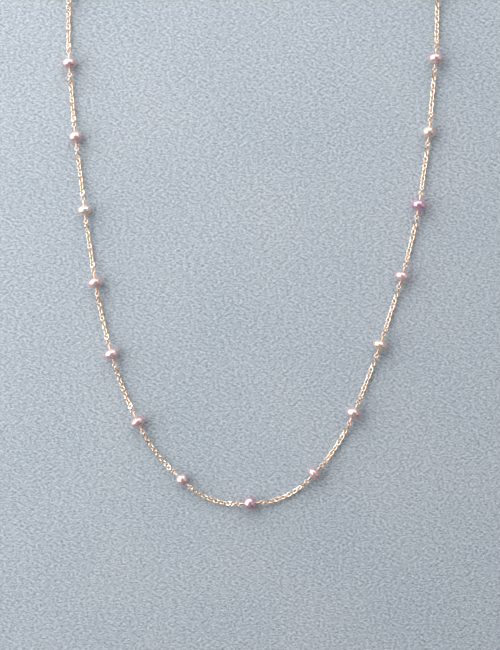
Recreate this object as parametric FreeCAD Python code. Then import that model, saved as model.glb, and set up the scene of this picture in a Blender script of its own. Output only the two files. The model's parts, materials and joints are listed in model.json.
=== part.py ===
import FreeCAD, Part
import math
import os

# A station necklace laid out flat and unclasped, in millimetres. +Z is up and the lowest
# point of the pearls is at z = 0. The origin is the middle of the laid-out necklace.

# Chain link: a racetrack of round wire
WIRE_D = 0.35
LINK_END_R = 0.61
LINK_STRAIGHT = 0.10
LINK_GAP = 0.06
LINK_HALF = LINK_STRAIGHT / 2 + LINK_END_R
LINK_PITCH = 2 * LINK_HALF - WIRE_D - LINK_GAP
LINK_TWIST_STEP = 22.5
LINK_TWIST_MAX = 45.0
LINK_SWAY = 9.0
LINK_SWAY_STEP = 110.0

# Wire through each pearl: a straight core, a wrapped coil and a round loop at each end
CORE_R = 0.15
COIL_WIRE_R = 0.13
COIL_SINK = 0.03
COIL_PITCH = 0.27
COIL_TURNS = 2.5
LOOP_R = 0.50
LOOP_SEAT = CORE_R + WIRE_D / 2 + LINK_GAP
PEARL_TO_COIL = 0.08
COIL_TO_LOOP = 0.10
DRILL_R = 0.24

# Pearls from the left end to the right end: size across the chain, size along it
PEARL_SIZES = [
    (4.15, 3.20), (4.25, 3.25), (3.95, 3.45), (3.95, 3.10), (4.25, 3.25), (4.35, 3.25),
    (4.40, 3.10), (3.45, 3.35), (3.75, 3.55), (4.10, 2.95), (4.40, 3.25), (4.40, 3.10),
    (4.40, 3.05), (4.45, 3.40), (3.75, 3.40), (4.20, 3.20), (4.25, 3.25),
]
CENTRE = 8
LINKS_PER_RUN = 15

# How the chain sags from a pearl's height to the table, one share per link joint
DRAPE = [1.0, 0.76, 0.44, 0.18, 0.05]
CHAIN_Z = 0.82
END_Z = 1.18
TAG_Z = 0.82

# Direction of the wire at each station outward from the centre, degrees from straight across
CENTRE_TILT = 3.5
RIGHT_TURNS = [47.0, 66.5, 71.0, 73.5, 80.0, 84.0, 86.0, 92.0]
LEFT_TURNS = [42.0, 63.5, 74.0, 80.5, 82.5, 83.5, 87.0, 93.0]
RIGHT_BACK = [(21, 104.0), (19, 120.0)]
LEFT_BACK = [(21, 105.0), (20, 121.0)]

# Clasp, drawn with its tail eye at the origin and the hook towards +X
EYE_R = 1.05
EYE_BORE_R = 0.55
EYE_T = 0.60
NECK_W = 1.40
NECK_X = 1.20
BODY_T = 2.2
TAIL_X = 1.55
TAIL_R = 0.95
CHEEK_X = 3.4
CHEEK_R = 1.70
RING_X = 6.1
RING_R = 2.45
RING_HOLE_R = 1.55
EDGE_R = 0.30
BEYOND = 4.0

# Slot for the lever, open at both edges of the clasp and in the ring
SLOT_T = 1.0
SLOT_OUTLINE = [
    (1.75, -0.95), (2.3, -BEYOND), (RING_X, -BEYOND), (RING_X, 0.6),
    (4.05, 0.75), (4.15, BEYOND), (2.3, BEYOND), (1.75, 0.55),
]

# Lever: hub on the pin, thumb tab, and a gate that closes the mouth of the hook
LEVER_T = 0.8
PIVOT_X = 3.3
PIVOT_Y = -0.25
PIN_R = 0.30
PIN_PRESS_GAP = 0.01
PIN_RUN_GAP = 0.06
HUB_R = 0.78
TAB_TIP_X = 3.75
TAB_TIP_Y = 2.45
TAB_W = 0.75
MOUTH_X = 4.2
MOUTH_Y = -0.4
MOUTH_R = 4.05
TIP_GAP = 0.08
GATE_INSET = 0.12
GATE_W = 0.73
GATE_X = 3.6
GATE_Y = -0.9
WEB_OUTLINE = [(PIVOT_X, PIVOT_Y - HUB_R), (4.55, -1.60), (4.75, -0.95), (PIVOT_X, PIVOT_Y + HUB_R)]

# Leaf spring behind the hub, bent once
SPRING_T = 0.14
SPRING_W = 0.60
SPRING_GAP = 0.03
SPRING_UP = 0.30
SPRING_DOWN = 0.17
SPRING_FOOT = 0.50
SPRING_FOOT_DROP = 0.13

# Jump ring
JUMP_R = 0.95
JUMP_WIRE_R = 0.18
JUMP_SEAT = JUMP_WIRE_R + WIRE_D / 2 + LINK_GAP
JUMP_TO_EYE = 1.18

# Catch tag: a flat stamped figure of eight
TAG_T = 0.30
TAG_RING_R = 2.15
TAG_HOLE_R = 1.40
TAG_EYE_R = 1.00
TAG_EYE_HOLE_R = 0.70
TAG_SPACING = 2.75
TAG_RIM_MID = (TAG_EYE_R + TAG_EYE_HOLE_R) / 2
TAG_GAP = 0.10
TAG_SEAT = TAG_EYE_R - TAG_RIM_MID + TAG_GAP + WIRE_D / 2

OUT = "parts"


def vec(x, y, z):
    return FreeCAD.Vector(x, y, z)


def ahead(point, heading, distance):
    """The point a level distance away in a heading given in degrees."""
    a = math.radians(heading)
    return point + vec(math.cos(a) * distance, math.sin(a) * distance, 0)


def aim(point, heading, climb=0.0, roll=0.0):
    """A placement whose +X points along a heading, tilted up by climb and rolled about itself."""
    turn = FreeCAD.Rotation(vec(0, 0, 1), heading)
    tilt = FreeCAD.Rotation(vec(0, 1, 0), -climb)
    spin = FreeCAD.Rotation(vec(1, 0, 0), roll)
    return FreeCAD.Placement(point, turn.multiply(tilt).multiply(spin))


def placed(shape, placement):
    copy = shape.copy()
    copy.Placement = placement.multiply(copy.Placement)
    return copy


def cylinder_z(r, x, y, thickness):
    return Part.makeCylinder(r, thickness, vec(x, y, -thickness / 2))


def slab(points, thickness):
    """A flat plate with the given corners, centred on z = 0."""
    corners = [vec(x, y, -thickness / 2) for x, y in points]
    face = Part.Face(Part.makePolygon(corners + corners[:1]))
    return face.extrude(vec(0, 0, thickness))


# Chain


def link():
    """One chain link around the origin, long along X and lying in the XY plane."""
    h = LINK_STRAIGHT / 2
    e = LINK_END_R
    right = Part.Arc(vec(h, -e, 0), vec(h + e, 0, 0), vec(h, e, 0)).toShape()
    top = Part.LineSegment(vec(h, e, 0), vec(-h, e, 0)).toShape()
    left = Part.Arc(vec(-h, e, 0), vec(-h - e, 0, 0), vec(-h, -e, 0)).toShape()
    bottom = Part.LineSegment(vec(-h, -e, 0), vec(h, -e, 0)).toShape()
    path = Part.Wire([right, top, left, bottom])
    circle = Part.Circle(vec(h, -e, 0), vec(1, 0, 0), WIRE_D / 2).toShape()
    return path.makePipeShell([Part.Wire([circle])], True, True)


def joint_heights(count, start_z, end_z):
    """Height of every joint in a run of links that sags between two ends."""
    heights = []
    for i in range(count + 1):
        near = DRAPE[i] if i < len(DRAPE) else 0.0
        far = DRAPE[count - i] if count - i < len(DRAPE) else 0.0
        heights.append(CHAIN_Z + near * (start_z - CHAIN_Z) + far * (end_z - CHAIN_Z))
    return heights


def link_rolls(count, first_roll, twist_sign):
    """Each link is a quarter turn from the last. The run twists to a diagonal and sways a little."""
    rolls = []
    for i in range(count):
        steps = min(i, count - 1 - i)
        twist = min(steps * LINK_TWIST_STEP, LINK_TWIST_MAX)
        sway = LINK_SWAY * math.sin(math.radians(i * LINK_SWAY_STEP)) if steps > 1 else 0.0
        rolls.append(first_roll + 90.0 * (i % 2) + twist_sign * twist + sway)
    return rolls


def end_reach(seat):
    """From the middle of the wire a link hangs on to the middle of its far interlock."""
    return 2 * LINK_HALF - seat - (WIRE_D + LINK_GAP) / 2


def walk_run(start, heading, end_heading, count, end_z, seats):
    """Centres and directions of a run of links, and the point the run ends at."""
    heights = joint_heights(count, start.z, end_z)
    point = start
    stops = []
    for i in range(count):
        turn = (i + 1) / (count + 1)
        here = heading + (end_heading - heading) * turn
        step = LINK_PITCH
        if i == 0:
            step = end_reach(seats[0])
        if i == count - 1:
            step = end_reach(seats[1])
        climb = math.degrees(math.asin((heights[i + 1] - heights[i]) / step))
        flat = math.cos(math.radians(climb)) * step
        beyond = ahead(point, here, flat)
        beyond.z = heights[i + 1]
        along = beyond - point
        along.normalize()
        centre = (point + beyond) * 0.5
        if i == 0:
            centre = point + along * (LINK_HALF - seats[0])
        if i == count - 1:
            centre = beyond - along * (LINK_HALF - seats[1])
        stops.append((centre, here, climb))
        point = beyond
    return stops, point


def chain_run(stops, first_roll, twist_sign):
    """A run of separate links."""
    one = link()
    rolls = link_rolls(len(stops), first_roll, twist_sign)
    links = []
    for (centre, heading, climb), roll in zip(stops, rolls):
        links.append(placed(one, aim(centre, heading, climb, roll)))
    return Part.makeCompound(links)


# Pearls and their wires


def pearl(across, along):
    """A drilled pearl around the origin with its hole along X.

    Its outline is a four-centre oval: a tight arc round the middle and a flatter cap at each end.
    """
    a = across / 2
    b = along / 2
    tight_r = b * b / a
    cap_r = (a * a + b * b - 2 * a * tight_r) / (2 * (b - tight_r))
    cap_x = b - cap_r
    join = math.atan2(a - tight_r, cap_r - b)
    rim = math.asin(DRILL_R / cap_r)
    spots = []
    for angle in (rim, (rim + join) / 2, join):
        spots.append((cap_x + cap_r * math.cos(angle), cap_r * math.sin(angle)))
    right = [vec(x, y, 0) for x, y in spots]
    left = [vec(-x, y, 0) for x, y in spots]
    edges = [
        Part.LineSegment(left[0], right[0]).toShape(),
        Part.Arc(right[0], right[1], right[2]).toShape(),
        Part.Arc(right[2], vec(0, a, 0), left[2]).toShape(),
        Part.Arc(left[2], left[1], left[0]).toShape(),
    ]
    return Part.Face(Part.Wire(edges)).revolve(vec(0, 0, 0), vec(1, 0, 0), 360)


def coil_start(along):
    return along / 2 + PEARL_TO_COIL + COIL_WIRE_R


def loop_centre(along):
    return coil_start(along) + COIL_PITCH * COIL_TURNS + COIL_TO_LOOP + COIL_WIRE_R + LOOP_R


def reach(along):
    """From the middle of a pearl to the far side of its loop."""
    return loop_centre(along) + LOOP_R


def coil():
    """The wrapped end of the wire, around X from the origin."""
    r = CORE_R + COIL_WIRE_R - COIL_SINK
    path = Part.makeHelix(COIL_PITCH, COIL_PITCH * COIL_TURNS, r)
    start = Part.Circle(vec(r, 0, 0), vec(0, 1, 0), COIL_WIRE_R).toShape()
    body = Part.Wire(path.Edges).makePipeShell([Part.Wire([start])], True, True)
    body.rotate(vec(0, 0, 0), vec(0, 1, 0), 90)
    return body


def pearl_wire(along):
    """The wire through a pearl, with a coil and a loop at each end."""
    c = loop_centre(along)
    inner = c - LOOP_R
    wire = Part.makeCylinder(CORE_R, 2 * inner, vec(-inner, 0, 0), vec(1, 0, 0))
    end = placed(coil(), FreeCAD.Placement(vec(coil_start(along), 0, 0), FreeCAD.Rotation()))
    end = end.fuse(Part.makeTorus(LOOP_R, CORE_R, vec(c, 0, 0)))
    other = placed(end, FreeCAD.Placement(vec(0, 0, 0), FreeCAD.Rotation(vec(0, 0, 1), 180)))
    return wire.fuse([end, other])


# Clasp


def housing():
    """Outside of the claw: a tail that widens to the cheeks and then to the ring."""
    blank = cylinder_z(TAIL_R, TAIL_X, 0, BODY_T)
    blank = blank.fuse(cylinder_z(CHEEK_R, CHEEK_X, 0, BODY_T))
    blank = blank.fuse(cylinder_z(RING_R, RING_X, 0, BODY_T))
    widths = [(TAIL_X, TAIL_R), (CHEEK_X, CHEEK_R), (RING_X, RING_R)]
    for (x0, y0), (x1, y1) in zip(widths, widths[1:]):
        blank = blank.fuse(slab([(x0, -y0), (x1, -y1), (x1, y1), (x0, y0)], BODY_T))
    blank = blank.removeSplitter()
    rims = [e for e in blank.Edges if abs(abs(e.CenterOfMass.z) - BODY_T / 2) < 0.001]
    return blank.makeFillet(EDGE_R, rims)


def mouth(start_x, top_y, r, thickness):
    """The lower front corner of the ring, ending on an arc about the pivot."""
    end_x = RING_X + RING_R
    corner = slab([(start_x, -BEYOND), (end_x, -BEYOND), (end_x, top_y), (start_x, top_y)], thickness)
    return corner.common(cylinder_z(r, PIVOT_X, PIVOT_Y, thickness))


def clasp_body():
    """Cast claw: tail eye, slotted housing and open hook."""
    claw = housing()
    claw = claw.cut(cylinder_z(RING_HOLE_R, RING_X, 0, BODY_T * 2))
    claw = claw.cut(mouth(MOUTH_X, MOUTH_Y, MOUTH_R, BODY_T * 2))
    claw = claw.cut(slab(SLOT_OUTLINE, SLOT_T))
    claw = claw.cut(cylinder_z(PIN_R + PIN_PRESS_GAP, PIVOT_X, PIVOT_Y, BODY_T * 2))
    h = NECK_W / 2
    eye = cylinder_z(EYE_R, 0, 0, EYE_T)
    eye = eye.fuse(slab([(0, -h), (NECK_X, -h), (NECK_X, h), (0, h)], EYE_T))
    eye = eye.cut(cylinder_z(EYE_BORE_R, 0, 0, EYE_T * 2))
    return claw.fuse(eye)


def clasp_lever():
    """The gate with its hub and thumb tab."""
    outer = RING_R - GATE_INSET
    gate = cylinder_z(outer, RING_X, 0, LEVER_T)
    gate = gate.cut(cylinder_z(outer - GATE_W, RING_X, 0, LEVER_T * 2))
    gate = gate.common(mouth(GATE_X, GATE_Y, MOUTH_R - TIP_GAP, LEVER_T * 2))
    web = slab(WEB_OUTLINE, LEVER_T)
    hub = cylinder_z(HUB_R, PIVOT_X, PIVOT_Y, LEVER_T)
    h = TAB_W / 2
    foot = [(PIVOT_X - h, PIVOT_Y), (PIVOT_X + h, PIVOT_Y)]
    head = [(TAB_TIP_X + h, TAB_TIP_Y), (TAB_TIP_X - h, TAB_TIP_Y)]
    arm = slab(foot + head, LEVER_T)
    tip = cylinder_z(h, TAB_TIP_X, TAB_TIP_Y, LEVER_T)
    lever = hub.fuse([web, gate, arm, tip]).removeSplitter()
    return lever.cut(cylinder_z(PIN_R + PIN_RUN_GAP, PIVOT_X, PIVOT_Y, LEVER_T * 2))


def clasp_pin():
    return cylinder_z(PIN_R, PIVOT_X, PIVOT_Y, BODY_T)


def clasp_spring():
    """A bent leaf behind the lever hub."""
    x = PIVOT_X - HUB_R - SPRING_GAP
    foot_x = x - SPRING_FOOT
    top = PIVOT_Y + SPRING_UP
    bend = PIVOT_Y - SPRING_DOWN
    foot = bend - SPRING_FOOT_DROP
    front = [(x, top), (x - SPRING_T, top), (x - SPRING_T, bend)]
    back = [(foot_x, foot), (foot_x, foot - SPRING_T), (x, bend - SPRING_T)]
    return slab(front + back, SPRING_W)


def jump_ring():
    """The ring between the chain and the clasp, standing on edge in its own XZ plane."""
    return Part.makeTorus(JUMP_R, JUMP_WIRE_R, vec(0, 0, 0), vec(0, 1, 0))


def catch_tag():
    """Small eye at the origin, large eye towards +X."""
    tag = cylinder_z(TAG_EYE_R, 0, 0, TAG_T).fuse(cylinder_z(TAG_RING_R, TAG_SPACING, 0, TAG_T))
    tag = tag.cut(cylinder_z(TAG_EYE_HOLE_R, 0, 0, TAG_T * 2))
    return tag.cut(cylinder_z(TAG_HOLE_R, TAG_SPACING, 0, TAG_T * 2))


# Layout


def mirrored(heading, side):
    """Left-hand directions are measured from the other way across."""
    return heading if side > 0 else 180.0 - heading


def walk_arm(side):
    """Where everything on one side goes, outward from the centre pearl at the origin."""
    turns = RIGHT_TURNS if side > 0 else LEFT_TURNS
    back = RIGHT_BACK if side > 0 else LEFT_BACK
    across, along = PEARL_SIZES[CENTRE]
    heading = CENTRE_TILT * side
    point = vec(0, 0, across / 2)
    edge = ahead(point, mirrored(heading, side), reach(along))
    stations = []
    runs = []
    for i, turn in enumerate(turns):
        across, along = PEARL_SIZES[CENTRE + side * (i + 1)]
        stops, end = walk_run(
            edge, mirrored(heading, side), mirrored(turn, side),
            LINKS_PER_RUN, across / 2, (LOOP_SEAT, LOOP_SEAT),
        )
        heading = turn
        point = ahead(end, mirrored(heading, side), reach(along))
        edge = ahead(point, mirrored(heading, side), reach(along))
        stations.append((point, mirrored(heading, side)))
        runs.append(stops)
    interlock = (WIRE_D + LINK_GAP) / 2
    end_seat = JUMP_SEAT if side > 0 else TAG_SEAT
    end_z = END_Z if side > 0 else TAG_Z
    first, last = back
    stops, edge = walk_run(
        edge, mirrored(heading, side), mirrored(first[1], side),
        first[0], CHAIN_Z, (LOOP_SEAT, interlock),
    )
    runs.append(stops)
    stops, edge = walk_run(
        edge, mirrored(first[1], side), mirrored(last[1], side),
        last[0], end_z, (interlock, end_seat),
    )
    runs.append(stops)
    return stations, runs, edge, mirrored(last[1], side)


def station_name(kind, number):
    return "{}_{:02d}".format(kind, number)


def chain_nodes(runs, side):
    """The runs of one arm, named by the lower of the two pearl numbers they join."""
    nodes = {}
    between = len(runs) - 2
    for i, stops in enumerate(runs[:between]):
        number = CENTRE + 1 + i if side > 0 else CENTRE - i
        nodes[station_name("chain_run", number)] = chain_run(stops, 90.0, side)
    word = "right" if side > 0 else "left"
    nodes["back_chain_" + word + "_1"] = chain_run(runs[between], 90.0, side)
    nodes["back_chain_" + word + "_2"] = chain_run(runs[between + 1], 0.0, side)
    return nodes


def pearl_nodes(spots):
    """Each pearl and its wire, placed at its station."""
    nodes = {}
    for i, (point, heading) in enumerate(spots):
        across, along = PEARL_SIZES[i]
        spot = aim(point, heading)
        nodes[station_name("pearl", i + 1)] = placed(pearl(across, along), spot)
        nodes[station_name("pearl_wire", i + 1)] = placed(pearl_wire(along), spot)
    return nodes


def clasp_nodes(edge, heading):
    """Jump ring and clasp at the right-hand end."""
    ring = aim(ahead(edge, heading, JUMP_R), heading)
    claw = aim(ahead(edge, heading, JUMP_R + JUMP_TO_EYE), heading)
    return {
        "clasp_jump_ring": placed(jump_ring(), ring),
        "clasp_body": placed(clasp_body(), claw),
        "clasp_lever": placed(clasp_lever(), claw),
        "clasp_pin": placed(clasp_pin(), claw),
        "clasp_spring": placed(clasp_spring(), claw),
    }


def build():
    right_spots, right_runs, right_edge, right_heading = walk_arm(1)
    left_spots, left_runs, left_edge, left_heading = walk_arm(-1)
    centre = (vec(0, 0, PEARL_SIZES[CENTRE][0] / 2), CENTRE_TILT)
    spots = [(p, h + 180.0) for p, h in reversed(left_spots)] + [centre] + right_spots
    nodes = pearl_nodes(spots)
    nodes.update(chain_nodes(right_runs, 1))
    nodes.update(chain_nodes(left_runs, -1))
    nodes.update(clasp_nodes(right_edge, right_heading))
    tag = aim(ahead(left_edge, left_heading, TAG_RIM_MID), left_heading)
    nodes["catch_tag"] = placed(catch_tag(), tag)
    return nodes


def main():
    os.makedirs(OUT, exist_ok=True)
    nodes = build()
    box = FreeCAD.BoundBox()
    for shape in nodes.values():
        box.add(shape.optimalBoundingBox())
    shift = FreeCAD.Placement(vec(-box.Center.x, -box.Center.y, 0), FreeCAD.Rotation())
    for name, shape in nodes.items():
        placed(shape, shift).exportStep(OUT + "/" + name + ".step")


main()
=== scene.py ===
import json
import math

import bpy
import numpy as np
from mathutils import Matrix, Vector, noise


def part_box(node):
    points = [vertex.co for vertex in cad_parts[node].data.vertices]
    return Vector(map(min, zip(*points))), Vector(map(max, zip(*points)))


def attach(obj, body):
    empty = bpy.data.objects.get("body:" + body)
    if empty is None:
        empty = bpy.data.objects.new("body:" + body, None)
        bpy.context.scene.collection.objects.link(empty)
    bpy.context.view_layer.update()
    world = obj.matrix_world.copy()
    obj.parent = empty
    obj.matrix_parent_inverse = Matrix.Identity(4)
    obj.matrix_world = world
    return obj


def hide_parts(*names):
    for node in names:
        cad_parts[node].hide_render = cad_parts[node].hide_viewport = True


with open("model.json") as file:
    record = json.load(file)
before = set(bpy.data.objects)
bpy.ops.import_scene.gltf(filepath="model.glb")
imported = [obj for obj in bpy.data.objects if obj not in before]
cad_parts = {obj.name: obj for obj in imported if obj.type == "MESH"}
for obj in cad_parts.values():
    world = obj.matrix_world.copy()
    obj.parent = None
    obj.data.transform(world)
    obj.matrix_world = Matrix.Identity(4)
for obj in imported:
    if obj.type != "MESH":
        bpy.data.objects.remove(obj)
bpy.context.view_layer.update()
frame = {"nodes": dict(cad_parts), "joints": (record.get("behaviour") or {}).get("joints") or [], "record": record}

MM = 0.001
JOINTS = {j["name"]: j for j in frame["joints"]}
RECORD = frame["record"]
NODE_BODY = {n: b for b, members in RECORD["behaviour"]["bodies"].items() for n in members}
NODE_SLOT = {s["node"]: s["material_slot"] for s in RECORD["subparts"]}
PEARL_COUNT = 17
CENTRE_PEARL = 9


# ---------------------------------------------------------------- materials


def new_material(name):
    mat = bpy.data.materials.new(name)
    mat.use_nodes = True
    nodes = mat.node_tree.nodes
    nodes.clear()
    out = nodes.new("ShaderNodeOutputMaterial")
    bsdf = nodes.new("ShaderNodeBsdfPrincipled")
    mat.node_tree.links.new(bsdf.outputs[0], out.inputs[0])
    return mat, nodes, mat.node_tree.links, bsdf


def noise_node(nodes, links, coords, scale, detail=3.0, rough=0.5):
    n = nodes.new("ShaderNodeTexNoise")
    n.inputs["Scale"].default_value = scale
    n.inputs["Detail"].default_value = detail
    n.inputs["Roughness"].default_value = rough
    links.new(coords, n.inputs["Vector"])
    return n


def ramp_node(nodes, links, fac, stops):
    r = nodes.new("ShaderNodeValToRGB")
    r.color_ramp.elements[0].position = stops[0][0]
    r.color_ramp.elements[0].color = stops[0][1]
    r.color_ramp.elements[1].position = stops[-1][0]
    r.color_ramp.elements[1].color = stops[-1][1]
    for pos, colour in stops[1:-1]:
        e = r.color_ramp.elements.new(pos)
        e.color = colour
    links.new(fac, r.inputs["Fac"])
    return r


def bump_node(nodes, links, height, strength, distance):
    b = nodes.new("ShaderNodeBump")
    b.inputs["Strength"].default_value = strength
    b.inputs["Distance"].default_value = distance
    links.new(height, b.inputs["Height"])
    return b


def range_node(nodes, links, value, low, high):
    m = nodes.new("ShaderNodeMapRange")
    m.inputs["To Min"].default_value = low
    m.inputs["To Max"].default_value = high
    links.new(value, m.inputs["Value"])
    return m


def rgba(r, g, b):
    return (r, g, b, 1.0)


def nacre(name, dark, mid, light, rim):
    """Pearl: cloudy overtones, a fine uneven skin, a coloured rim and a hard clear gloss."""
    mat, nodes, links, bsdf = new_material(name)
    tex = nodes.new("ShaderNodeTexCoord").outputs["Object"]
    clouds = noise_node(nodes, links, tex, 480.0, 3.0, 0.55)
    tint = ramp_node(nodes, links, clouds.outputs["Fac"], [(0.34, dark), (0.50, mid), (0.68, light)])
    links.new(tint.outputs["Color"], bsdf.inputs["Base Color"])
    fine = noise_node(nodes, links, tex, 5200.0, 2.0, 0.6)
    rough = range_node(nodes, links, fine.outputs["Fac"], 0.18, 0.30)
    links.new(rough.outputs[0], bsdf.inputs["Roughness"])
    skin = noise_node(nodes, links, tex, 1500.0, 4.0, 0.6)
    bump = bump_node(nodes, links, skin.outputs["Fac"], 0.22, 0.00002)
    links.new(bump.outputs["Normal"], bsdf.inputs["Normal"])
    bsdf.inputs["Metallic"].default_value = 0.55
    bsdf.inputs["IOR"].default_value = 2.0
    bsdf.inputs["Coat Weight"].default_value = 1.0
    bsdf.inputs["Coat Roughness"].default_value = 0.08
    bsdf.inputs["Coat IOR"].default_value = 1.75
    bsdf.inputs["Sheen Weight"].default_value = 0.35
    bsdf.inputs["Sheen Roughness"].default_value = 0.35
    bsdf.inputs["Sheen Tint"].default_value = rim
    return mat


def gold(name, tone, low_rough, high_rough, wear=0.5):
    """Polished plating with faint tone changes and fine handling marks."""
    mat, nodes, links, bsdf = new_material(name)
    tex = nodes.new("ShaderNodeTexCoord").outputs["Object"]
    patch = noise_node(nodes, links, tex, 900.0, 3.0, 0.5)
    deep = rgba(tone[0] * 0.86, tone[1] * 0.82, tone[2] * 0.74)
    pale = rgba(min(tone[0] * 1.06, 1.0), min(tone[1] * 1.08, 1.0), min(tone[2] * 1.18, 1.0))
    tint = ramp_node(nodes, links, patch.outputs["Fac"], [(0.32, deep), (0.55, rgba(*tone)), (0.75, pale)])
    links.new(tint.outputs["Color"], bsdf.inputs["Base Color"])
    marks = noise_node(nodes, links, tex, 6500.0, 4.0, 0.65)
    rough = range_node(nodes, links, marks.outputs["Fac"], low_rough, high_rough)
    links.new(rough.outputs[0], bsdf.inputs["Roughness"])
    bump = bump_node(nodes, links, marks.outputs["Fac"], 0.2 * wear, 0.00001)
    links.new(bump.outputs["Normal"], bsdf.inputs["Normal"])
    bsdf.inputs["Metallic"].default_value = 1.0
    return mat


def board(name):
    """Pale blue-grey board with a soft plaster tooth that runs a little one way, its relief painted into the
    colour as shade in the hollows and light on the tops.
    """
    mat, nodes, links, bsdf = new_material(name)
    tex = nodes.new("ShaderNodeTexCoord").outputs["Object"]
    lean = nodes.new("ShaderNodeMapping")
    lean.inputs["Rotation"].default_value = (0, 0, math.radians(40))
    lean.inputs["Scale"].default_value = (0.62, 1.0, 1.0)
    links.new(tex, lean.inputs["Vector"])
    broad = noise_node(nodes, links, tex, 30.0, 3.0, 0.5)
    tint = ramp_node(
        nodes, links, broad.outputs["Fac"],
        [(0.3, rgba(0.340, 0.390, 0.430)), (0.7, rgba(0.370, 0.410, 0.445))],
    )
    tooth = noise_node(nodes, links, lean.outputs["Vector"], 1900.0, 3.0, 0.72)
    # Painted light and shade: the colour is darkened where the tooth is low and lightened where it is high,
    # following the same noise as the bump.
    painted_tooth_relief = ramp_node(
        nodes, links, tooth.outputs["Fac"],
        [(0.28, rgba(0.45, 0.45, 0.46)), (0.50, rgba(0.94, 0.94, 0.94)), (0.72, rgba(1.45, 1.45, 1.45))],
    )
    mix = nodes.new("ShaderNodeMix")
    mix.data_type = "RGBA"
    mix.blend_type = "MULTIPLY"
    mix.inputs["Factor"].default_value = 1.0
    links.new(tint.outputs["Color"], mix.inputs[6])
    links.new(painted_tooth_relief.outputs["Color"], mix.inputs[7])
    links.new(mix.outputs[2], bsdf.inputs["Base Color"])
    bump = bump_node(nodes, links, tooth.outputs["Fac"], 0.7, 0.0005)
    links.new(bump.outputs["Normal"], bsdf.inputs["Normal"])
    bsdf.inputs["Roughness"].default_value = 0.8
    bsdf.inputs["Specular IOR Level"].default_value = 0.25
    return mat


PINK = nacre(
    "nacre_pink",
    dark=rgba(0.52, 0.33, 0.32), mid=rgba(0.62, 0.42, 0.41),
    light=rgba(0.74, 0.55, 0.53), rim=rgba(0.90, 0.55, 0.72),
)
MAUVE = nacre(
    "nacre_mauve",
    dark=rgba(0.42, 0.20, 0.27), mid=rgba(0.52, 0.29, 0.37),
    light=rgba(0.64, 0.42, 0.48), rim=rgba(0.85, 0.35, 0.62),
)
CREAM = nacre(
    "nacre_cream",
    dark=rgba(0.60, 0.43, 0.35), mid=rgba(0.70, 0.54, 0.46),
    light=rgba(0.80, 0.66, 0.58), rim=rgba(0.95, 0.72, 0.72),
)
NACRE = {"pearl_pink": PINK, "pearl_mauve": MAUVE, "pearl_cream": CREAM}
CHAIN_GOLD = gold("gold_chain", (0.97, 0.79, 0.64), 0.06, 0.15)
WIRE_GOLD = gold("gold_wire", (0.96, 0.72, 0.56), 0.09, 0.20)
CLASP_GOLD = gold("gold_clasp", (0.97, 0.79, 0.62), 0.24, 0.36, 0.15)
DARK_GOLD = gold("gold_satin", (0.80, 0.56, 0.38), 0.28, 0.42)


# ---------------------------------------------------------------- mesh helpers

SOFT_ANGLE = 50
WELD_DECIMALS = 7


def mesh_object(name, verts, faces, mat, sharp_angle=None):
    mesh = bpy.data.meshes.new(name)
    mesh.from_pydata([tuple(v) for v in verts], [], faces)
    mesh.update()
    for p in mesh.polygons:
        p.use_smooth = True
    if sharp_angle is not None:
        mesh.set_sharp_from_angle(angle=math.radians(sharp_angle))
    mesh.materials.append(mat)
    obj = bpy.data.objects.new(name, mesh)
    bpy.context.scene.collection.objects.link(obj)
    return obj


def stand_for(obj, node):
    """Lets a rebuilt piece take the place of its CAD node, on the same body."""
    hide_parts(node)
    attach(obj, NODE_BODY[node])


def grid_faces(rows, cols, closed_rows):
    """Quads over rows of points, each row a ring; closed_rows joins the last row to the first."""
    faces = []
    last = rows if closed_rows else rows - 1
    for i in range(last):
        j = (i + 1) % rows
        for k in range(cols):
            m = (k + 1) % cols
            faces.append((i * cols + k, i * cols + m, j * cols + m, j * cols + k))
    return faces


def loose_parts(mesh):
    """Vertex groups of a CAD mesh that hang together, one per solid."""
    co = np.zeros(len(mesh.vertices) * 3)
    mesh.vertices.foreach_get("co", co)
    co = co.reshape(-1, 3)
    _, weld = np.unique(np.round(co, WELD_DECIMALS), axis=0, return_inverse=True)
    weld = weld.ravel()
    ends = np.zeros(len(mesh.edges) * 2, dtype=np.int64)
    mesh.edges.foreach_get("vertices", ends)
    ends = weld[ends.reshape(-1, 2)]
    label = np.arange(weld.max() + 1)
    while True:
        low = np.minimum(label[ends[:, 0]], label[ends[:, 1]])
        new = label.copy()
        np.minimum.at(new, ends[:, 0], low)
        np.minimum.at(new, ends[:, 1], low)
        new = new[new]
        if (new == label).all():
            break
        label = new
    group = label[weld]
    return [co[group == g] for g in np.unique(group)]


def link_frame(points):
    """Centre and axes of a link: X its length, Y its width, Z its flat side."""
    centre = points.mean(0)
    _, axes = np.linalg.eigh(np.cov((points - centre).T))
    x, y = axes[:, 2], axes[:, 1]
    z = np.cross(x, y)
    local = (points - centre) @ np.array([x, y, z]).T
    middle = (local.min(0) + local.max(0)) / 2
    centre = centre + np.array([x, y, z]).T @ middle
    size = local.max(0) - local.min(0)
    return centre, x, y, z, size


# ---------------------------------------------------------------- chain

AROUND = 16
ARC_STEPS = 12
FLAT_ANGLE = 28
SIDE_FLAT = 0.78
FACE_FLAT = 0.97


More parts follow.
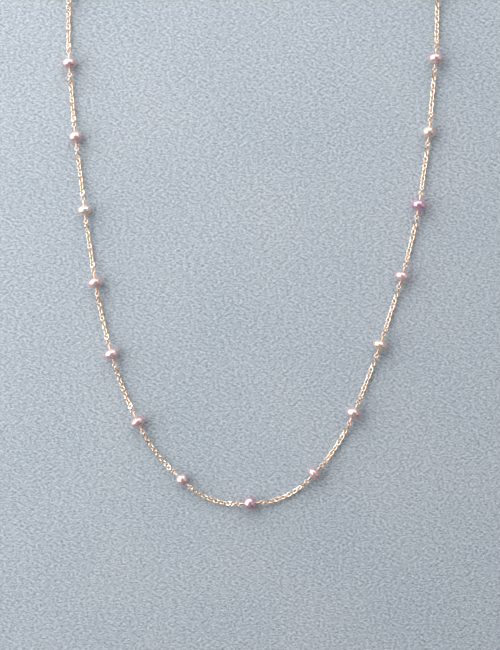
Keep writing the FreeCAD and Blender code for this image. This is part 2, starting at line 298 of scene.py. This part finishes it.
def link_mesh(length, width, wire):
    """A racetrack of round wire with diamond-cut flats ground on its outside."""
    r = wire / 2
    e = width / 2 - r
    h = length / 2 - r - e
    path = []
    for i in range(ARC_STEPS + 1):
        a = -math.pi / 2 + math.pi * i / ARC_STEPS
        path.append((h + e * math.cos(a), e * math.sin(a), math.cos(a), math.sin(a)))
    path.append((0.0, e, 0.0, 1.0))
    for i in range(ARC_STEPS + 1):
        a = math.pi / 2 + math.pi * i / ARC_STEPS
        path.append((-h + e * math.cos(a), e * math.sin(a), math.cos(a), math.sin(a)))
    path.append((0.0, -e, 0.0, -1.0))
    verts = []
    for x, y, nx, ny in path:
        for k in range(AROUND):
            a = 2 * math.pi * k / AROUND
            out = math.cos(a) * r
            up = math.sin(a) * r
            out = min(out, r * SIDE_FLAT)
            up = max(-r * FACE_FLAT, min(up, r * FACE_FLAT))
            verts.append((x + nx * out, y + ny * out, up))
    return np.array(verts), grid_faces(len(path), AROUND, True)


def rebuild_chain(node):
    """Puts the same cut link in the place of every solid of a run."""
    cad = frame["nodes"][node]
    verts, faces = [], []
    template = None
    for points in loose_parts(cad.data):
        centre, x, y, z, size = link_frame(points)
        if template is None:
            template, template_faces = link_mesh(*size)
        base = len(verts)
        turn = np.array([x, y, z])
        verts.extend(template @ turn + centre)
        faces.extend(tuple(i + base for i in f) for f in template_faces)
    obj = mesh_object(node.replace("run", "links"), verts, faces, CHAIN_GOLD, FLAT_ANGLE)
    stand_for(obj, node)


CHAIN_NODES = [n for n in frame["nodes"] if n.startswith("chain_run") or n.startswith("back_chain")]
for node in sorted(CHAIN_NODES):
    rebuild_chain(node)


# ---------------------------------------------------------------- pearls

PEARL_RINGS = 72
PEARL_AROUND = 112
DRILL_R = 0.24 * MM
RIM_R = 0.05 * MM
# Share of the radius kept back, so that no lump leaves the CAD size.
SKIN_ROOM = 0.010
LUMP = 0.018
DENT = 0.008
GROWTH_RING = 0.0025
# How far the mouth of the hole is turned in: depth in rim radii, and radius.
HOLE_STEPS = ((0.35, DRILL_R + 0.35 * RIM_R), (1.0, DRILL_R), (6.0, DRILL_R))


def pearl_mesh(number, across, along):
    """A slightly uneven drilled pearl about the origin, its hole along X."""
    a = across / 2
    b = along / 2
    lip = math.acos((DRILL_R + RIM_R) / a)
    verts = []
    seed = Vector((number * 3.17, number * 1.71, 0.4))
    for i in range(PEARL_RINGS + 1):
        t = -lip + 2 * lip * i / PEARL_RINGS
        for k in range(PEARL_AROUND):
            f = 2 * math.pi * k / PEARL_AROUND
            d = Vector((math.sin(t), math.cos(t) * math.cos(f), math.cos(t) * math.sin(f)))
            lump = noise.noise(d * 1.3 + seed) * LUMP
            dent = noise.noise(d * 3.1 + seed * 2) * DENT
            growth = GROWTH_RING * math.sin(t * 21 + number)
            shrink = 1.0 - SKIN_ROOM + min(lump + dent + growth, SKIN_ROOM)
            verts.append((b * d.x * shrink, a * d.y * shrink, a * d.z * shrink))
    ends = []
    for side, row in ((-1, 0), (1, PEARL_RINGS)):
        edge_x = abs(verts[row * PEARL_AROUND][0])
        for depth, radius in HOLE_STEPS:
            x = side * (edge_x - depth * RIM_R)
            ring = []
            for k in range(PEARL_AROUND):
                f = 2 * math.pi * k / PEARL_AROUND
                ring.append((x, radius * math.cos(f), radius * math.sin(f)))
            ends.append(ring)
    rows = ends[2::-1]
    for i in range(PEARL_RINGS + 1):
        rows.append(verts[i * PEARL_AROUND:(i + 1) * PEARL_AROUND])
    rows += ends[3:]
    return [v for row in rows for v in row], grid_faces(len(rows), PEARL_AROUND, True)


def pearl_place(number):
    """Where a pearl sits, with X along its hole, and its size across and along the hole."""
    node = "pearl_{:02d}".format(number)
    joint = JOINTS[node + "_spin"]
    centre = Vector(joint["pos_m"])
    u = Vector(joint["axis"]).normalized()
    up = Vector((0, 0, 1))
    side = up.cross(u).normalized()
    low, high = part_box(node)
    across = high.z - low.z
    plan = Vector((high.x - low.x, high.y - low.y, 0))
    place = Matrix((
        (u.x, side.x, up.x, centre.x),
        (u.y, side.y, up.y, centre.y),
        (u.z, side.z, up.z, centre.z),
        (0, 0, 0, 1),
    ))
    return place, across, pearl_length(plan, u, across)


def rebuild_pearl(number):
    """One pearl, with its own unevenness, in place of its CAD node."""
    node = "pearl_{:02d}".format(number)
    place, across, along = pearl_place(number)
    verts, faces = pearl_mesh(number, across, along)
    verts = [place @ Vector(v) for v in verts]
    slot = NODE_SLOT[node]
    obj = mesh_object("nacre_{:02d}".format(number), verts, faces, NACRE[slot], SOFT_ANGLE)
    stand_for(obj, node)


def pearl_length(plan, u, across):
    """Length along the hole, from the box in plan and the width across, taking the oval for an ellipse."""
    c, s = abs(u.x), abs(u.y)
    if c > s:
        return math.sqrt(max(plan.x ** 2 - (across * s) ** 2, 0)) / c
    return math.sqrt(max(plan.y ** 2 - (across * c) ** 2, 0)) / s


for number in range(1, PEARL_COUNT + 1):
    rebuild_pearl(number)


# ---------------------------------------------------------------- pearl wires

CORE_R = 0.15 * MM
WRAP_R = 0.12 * MM
WRAP_SINK = 0.02 * MM
WRAP_PITCH = 0.235 * MM
WRAP_GAP = 0.05 * MM
WRAP_TURNS = 3.5
WRAP_STEPS = 20
LOOP_R = 0.50 * MM
LOOP_STEPS = 40
LOOP_START = math.pi + 0.22
LOOP_SWEEP = 2 * math.pi - 0.10
TUBE_SIDES = 14
TIP_SCALE = 0.35


def tube(path, radius, verts, faces):
    """Adds round wire along a line of points, with tapered ends."""
    base = len(verts)
    side = None
    for i, p in enumerate(path):
        run = path[min(i + 1, len(path) - 1)] - path[max(i - 1, 0)]
        run.normalize()
        if side is None:
            side = run.orthogonal().normalized()
        side = (side - run * side.dot(run)).normalized()
        other = run.cross(side)
        r = radius * (TIP_SCALE if i in (0, len(path) - 1) else 1.0)
        for k in range(TUBE_SIDES):
            a = 2 * math.pi * k / TUBE_SIDES
            verts.append(p + side * (math.cos(a) * r) + other * (math.sin(a) * r))
    for f in grid_faces(len(path), TUBE_SIDES, False):
        faces.append(tuple(i + base for i in f))
    faces.append(tuple(base + k for k in reversed(range(TUBE_SIDES))))
    faces.append(tuple(base + (len(path) - 1) * TUBE_SIDES + k for k in range(TUBE_SIDES)))


def wire_paths(half_pearl, reach):
    """Centre lines on the +X side: the core bent into its loop, and the wrap behind it."""
    loop_x = reach - LOOP_R
    stem = [Vector((x * (loop_x - LOOP_R * 1.25), 0, 0)) for x in (0.0, 0.5, 0.9, 1.0)]
    for i in range(LOOP_STEPS + 1):
        a = LOOP_START + LOOP_SWEEP * i / LOOP_STEPS
        lift = (i / LOOP_STEPS - 0.5) * CORE_R * 0.5
        stem.append(Vector((loop_x + LOOP_R * math.cos(a), LOOP_R * math.sin(a), lift)))
    r = CORE_R + WRAP_R - WRAP_SINK
    start = half_pearl + WRAP_GAP + WRAP_R
    wrap = []
    for i in range(int(WRAP_TURNS * WRAP_STEPS) + 1):
        a = 2 * math.pi * i / WRAP_STEPS
        x = start + WRAP_PITCH * i / WRAP_STEPS
        wrap.append(Vector((x, r * math.cos(a), r * math.sin(a))))
    return stem, wrap


def rebuild_wire(number):
    """The wire of one pearl, the same on both sides."""
    node = "pearl_wire_{:02d}".format(number)
    place, across, along = pearl_place(number)
    spread = pearl_span(node, place)
    verts, faces = [], []
    for turn in (Matrix.Identity(4), Matrix.Rotation(math.pi, 4, "Z")):
        for path, radius in zip(wire_paths(along / 2, spread - CORE_R), (CORE_R, WRAP_R)):
            tube([place @ turn @ p for p in path], radius, verts, faces)
    obj = mesh_object("wrapped_wire_{:02d}".format(number), verts, faces, WIRE_GOLD, SOFT_ANGLE)
    stand_for(obj, node)


def pearl_span(node, place):
    """Half the length of a wire node along its pearl's hole."""
    inward = place.inverted()
    cad = frame["nodes"][node]
    return max(abs((inward @ v.co).x) for v in cad.data.vertices)


for number in range(1, PEARL_COUNT + 1):
    rebuild_wire(number)


# ---------------------------------------------------------------- the rest of the metal


def paint(node, mat):
    """Gives a CAD node that stays its material."""
    obj = frame["nodes"][node]
    if not obj.material_slots:
        obj.data.materials.append(mat)
    for s in obj.material_slots:
        s.material = mat


for node in ("clasp_body", "clasp_lever", "clasp_jump_ring", "catch_tag"):
    paint(node, CLASP_GOLD)
for node in ("clasp_pin", "clasp_spring"):
    paint(node, DARK_GOLD)


# ---------------------------------------------------------------- floor, light, camera

centre_pearl = Vector(JOINTS["pearl_{:02d}_spin".format(CENTRE_PEARL)]["pos_m"])
# Height of the view, and its middle as seen from the pearl at the bottom of the curve.
VIEW_H = 179.56 * MM
VIEW_OFFSET = (0.05 * MM, 49.25 * MM)
LOOK_Z = 2 * MM
look = Vector((centre_pearl.x + VIEW_OFFSET[0], centre_pearl.y + VIEW_OFFSET[1], LOOK_Z))

FLOOR_HALF = 3
FLOOR_DROP = 0.02 * MM
corners = [(x * FLOOR_HALF, y * FLOOR_HALF, 0) for x, y in ((-1, -1), (1, -1), (1, 1), (-1, 1))]
floor = mesh_object("floor", corners, [(0, 1, 2, 3)], board("board"))
floor.location.z = -FLOOR_DROP

camera_data = bpy.data.cameras.new("camera")
camera_data.lens = 100
camera = bpy.data.objects.new("camera", camera_data)
bpy.context.scene.collection.objects.link(camera)
distance = VIEW_H * camera_data.lens / camera_data.sensor_width
camera.location = look + Vector((0, 0, distance))
camera.rotation_euler = (0, 0, 0)
camera_data.clip_start = 0.01
camera_data.clip_end = 20
bpy.context.scene.camera = camera


def softbox(name, side, height, size, radiance, colour):
    """A soft panel of even brightness, turned towards the middle of the picture."""
    data = bpy.data.lights.new(name, "AREA")
    data.shape = "RECTANGLE"
    data.size, data.size_y = size
    data.energy = radiance * math.pi * size[0] * size[1]
    data.color = colour
    obj = bpy.data.objects.new(name, data)
    bpy.context.scene.collection.objects.link(obj)
    obj.location = (look.x + side[0], look.y + side[1], height)
    aim_at = Vector((look.x, look.y, 0)) - obj.location
    obj.rotation_euler = aim_at.to_track_quat("-Z", "Y").to_euler()
    obj.visible_camera = False


softbox("panel_left", (-0.40, 0.14), 0.27, (0.95, 0.60), 4.0, (1.0, 0.985, 0.99))
softbox("panel_top", (0.06, 0.52), 0.33, (0.85, 0.62), 2.3, (1.0, 0.985, 1.0))
softbox("panel_right", (0.56, 0.0), 0.38, (0.70, 0.60), 0.75, (0.97, 0.98, 1.0))
softbox("panel_bottom", (0.0, -0.60), 0.40, (0.70, 0.55), 0.35, (0.97, 0.98, 1.0))

world = bpy.data.worlds.new("world")
bpy.context.scene.world = world
world.use_nodes = True
background = world.node_tree.nodes["Background"]
background.inputs["Color"].default_value = (0.80, 0.84, 0.90, 1)
background.inputs["Strength"].default_value = 0.08
bpy.context.scene.view_settings.view_transform = "Standard"
